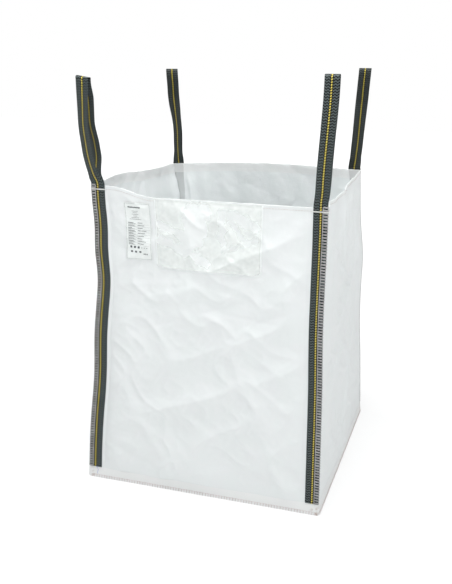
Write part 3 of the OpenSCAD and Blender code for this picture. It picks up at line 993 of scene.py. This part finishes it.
def pouch_half(z):
    """Half the pouch's width at height z, with its rounded lower corners."""
    up = np.clip(z - POUCH_FOOT, 0, POUCH_ROUND)
    return POUCH_W / 2 - POUCH_ROUND + np.sqrt(np.clip(POUCH_ROUND ** 2 - (POUCH_ROUND - up) ** 2, 0, None))


def make_pouch():
    """Two films welded down both sides and along the foot, and the strip they hang from."""
    left, tall = POUCH_X - POUCH_W / 2, POUCH_TOP - POUCH_FOOT
    # the two shares are the film's clear base and its haze with painted reflection
    film = film_material("film", 0.05, 0.45, [
        ((left + POUCH_W * a, POUCH_TOP - tall * b), (left + POUCH_W * c, POUCH_TOP - tall * d), half)
        for a, b, c, d, half in CLEAR_WINDOWS])
    share = np.linspace(-1, 1, 100)[None, :]
    z = np.concatenate([POUCH_FOOT + POUCH_ROUND * (1 - np.cos(np.linspace(0, math.pi / 2, 9)[:-1])),
                        np.linspace(POUCH_FOOT + POUCH_ROUND, POUCH_TOP, 56)])[:, None]
    x = POUCH_X + share * (pouch_half(z) - 0.0055)
    z = z + 0.0055 * smooth(POUCH_FOOT + POUCH_ROUND - z, 0.0, POUCH_ROUND)
    rise = smooth(POUCH_TOP - z, 0.0, 0.03) * smooth(1 - np.abs(share), 0.0, 0.10)
    back = 0.0006 + 0.3 * film_wrinkles(x, z, 121) * rise
    front = back + 0.0006 + film_wrinkles(x, z, 131) * rise
    for name, out, node, look in (("pouch_back_sheet", back, "pouch_back_film", frosted),
                                  ("pouch_front_sheet", front, "pouch_front_film", film)):
        outer, inner = on_wall(FRONT, x, z, out + 0.00015), on_wall(FRONT, x, z, out)
        hang(build_sheet(name, look, [node], outer, inner, (x, z)), "pouch", POUCH_BEND)
    # the welded edge runs down, round the corners and up again
    bend = np.linspace(0, math.pi / 2, 8)
    side_z = np.linspace(POUCH_TOP, POUCH_FOOT + POUCH_ROUND, 40)
    path_x = np.concatenate([np.full(40, left), left + POUCH_ROUND * (1 - np.cos(bend[1:]))])
    path_z = np.concatenate([side_z, POUCH_FOOT + POUCH_ROUND * (1 - np.sin(bend[1:]))])
    floor_x = np.linspace(left + POUCH_ROUND, 2 * POUCH_X - left - POUCH_ROUND, 60)[1:-1]
    path_x = np.concatenate([path_x, floor_x, 2 * POUCH_X - path_x[::-1]])
    path_z = np.concatenate([path_z, np.full(len(floor_x), POUCH_FOOT), path_z[::-1]])
    path = np.stack([path_x, path_z], -1)
    step = unit(np.gradient(path, axis=0))
    shape = Shape()
    width = np.array([0.0, 0.0010, 0.0030, 0.0050, 0.0060])[None, :]
    lift = np.array([0.0004, 0.0008, 0.0006, 0.0008, 0.0006])[None, :]
    x, z = path[:, :1] - step[:, 1:] * width, path[:, 1:] + step[:, :1] * width
    outer, inner = on_wall(FRONT, x, z, lift + 0.0004), on_wall(FRONT, x, z, lift)
    rings = np.concatenate([outer, inner[:, ::-1]], axis=1)
    around = np.concatenate([width[0], width[0, ::-1], width[0, :1]])
    shape.sweeps(rings[None], around, run_lengths(path))
    hang(shape.build("pouch_welded_edge", frosted, ["pouch_edge_seal"]), "pouch", POUCH_BEND)
    # the strip that is caught under the hem's stitches
    x = np.linspace(POUCH_X - POUCH_W / 2, POUCH_X + POUCH_W / 2, 80)[None, :]
    top = rim_height(FRONT, x) - 0.002
    z = POUCH_TOP + 0.0002 + (top - POUCH_TOP) * np.linspace(0, 1, 6)[:, None]
    outer, inner = on_wall(FRONT, x, z, 0.0007), on_wall(FRONT, x, z, 0.0005)
    build_sheet("pouch_header_film", frosted, ["pouch_header"], outer, inner, (x, z), "bag")


# ---------------- making the bag

for number in range(4):
    make_wall(number)
    make_hem(number)
    make_base_fold(number)
    make_rim_stitches(number)
    make_base_overlock(number)
for corner_name in CORNERS:
    make_strap(corner_name)
    make_corner_overlock(corner_name)
make_base()
make_thread_tail()
make_label()
make_pouch()


# ---------------- floor, light and camera

def make_floor():
    """A plain pale floor that glows a little, more so away from the bag."""
    n = Nodes("floor")
    spot = n.place()
    colour = n.mix(n.noise(spot, 1.2, 4.0), (0.33, 0.335, 0.335), (0.36, 0.36, 0.36))
    away = n.ramp(n.vector("LENGTH", spot, output="Value"), 1.3, 5.0)
    ground = n.add("BsdfPrincipled", Roughness=0.8, Base_Color=colour, Specular_IOR_Level=0.1,
                   Emission_Color=(1, 1, 1), Emission_Strength=n.plus(0.66, n.times(0.38, away)))
    mesh = bpy.data.meshes.new("floor")
    reach = 14.0
    corners = [(-reach, -reach, 0), (reach, -reach, 0), (reach, reach, 0), (-reach, reach, 0)]
    mesh.from_pydata(corners, [], [(0, 1, 2, 3)])
    mesh.materials.append(n.finish(ground))
    floor = add_object("floor", mesh)


def make_world():
    """White to the camera, and a soft pale sky for the light."""
    world = bpy.data.worlds.new("studio")
    bpy.context.scene.world = world
    n = Nodes("studio", world)
    lit = n.add("Background", Color=(0.99, 1.0, 1.0), Strength=0.40)
    seen = n.add("Background", Color=(1, 1, 1), Strength=1.0)
    n.finish(n.blend(n.add("LightPath").outputs["Is Camera Ray"], lit, seen), "OutputWorld")


def make_light(name, place, aim, size, power):
    """A square lamp, in metres and watts."""
    light = bpy.data.lights.new(name, "AREA")
    light.shape, light.size, light.energy = "SQUARE", size, power
    lamp = add_object(name, light)
    lamp.location = place
    ahead = np.array(aim, float) - np.array(place, float)
    lamp.rotation_euler = Vector(ahead).to_track_quat("-Z", "Y").to_euler()


def make_camera():
    """Stands to the right of the bag's front and looks a little down on it."""
    data = bpy.data.cameras.new("camera")
    camera = add_object("camera", data)
    azimuth, pitch, roll = math.radians(17.4), math.radians(11.88), math.radians(0.37)
    aim = Euler((math.pi / 2 - pitch, 0, azimuth)).to_matrix() @ Matrix.Rotation(roll, 3, "Z")
    camera.rotation_euler = aim.to_euler()
    camera.location = (0.891, -2.996, 1.588)
    data.lens = 49.97
    data.sensor_width = 36
    data.shift_y = -0.12
    data.clip_end = 100
    bpy.context.scene.camera = camera


make_floor()
make_world()
make_light("key", (2.0, -4.0, 4.4), (0, 0, 0.6), 1.0, 105)
make_light("side", (2.2, -0.2, 4.3), (0, 0, 0.6), 0.9, 14)
make_light("top", (-0.25, -0.45, 4.4), (-0.1, -0.1, 0), 2.0, 150)
make_camera()
bpy.context.scene.view_settings.view_transform = "Standard"
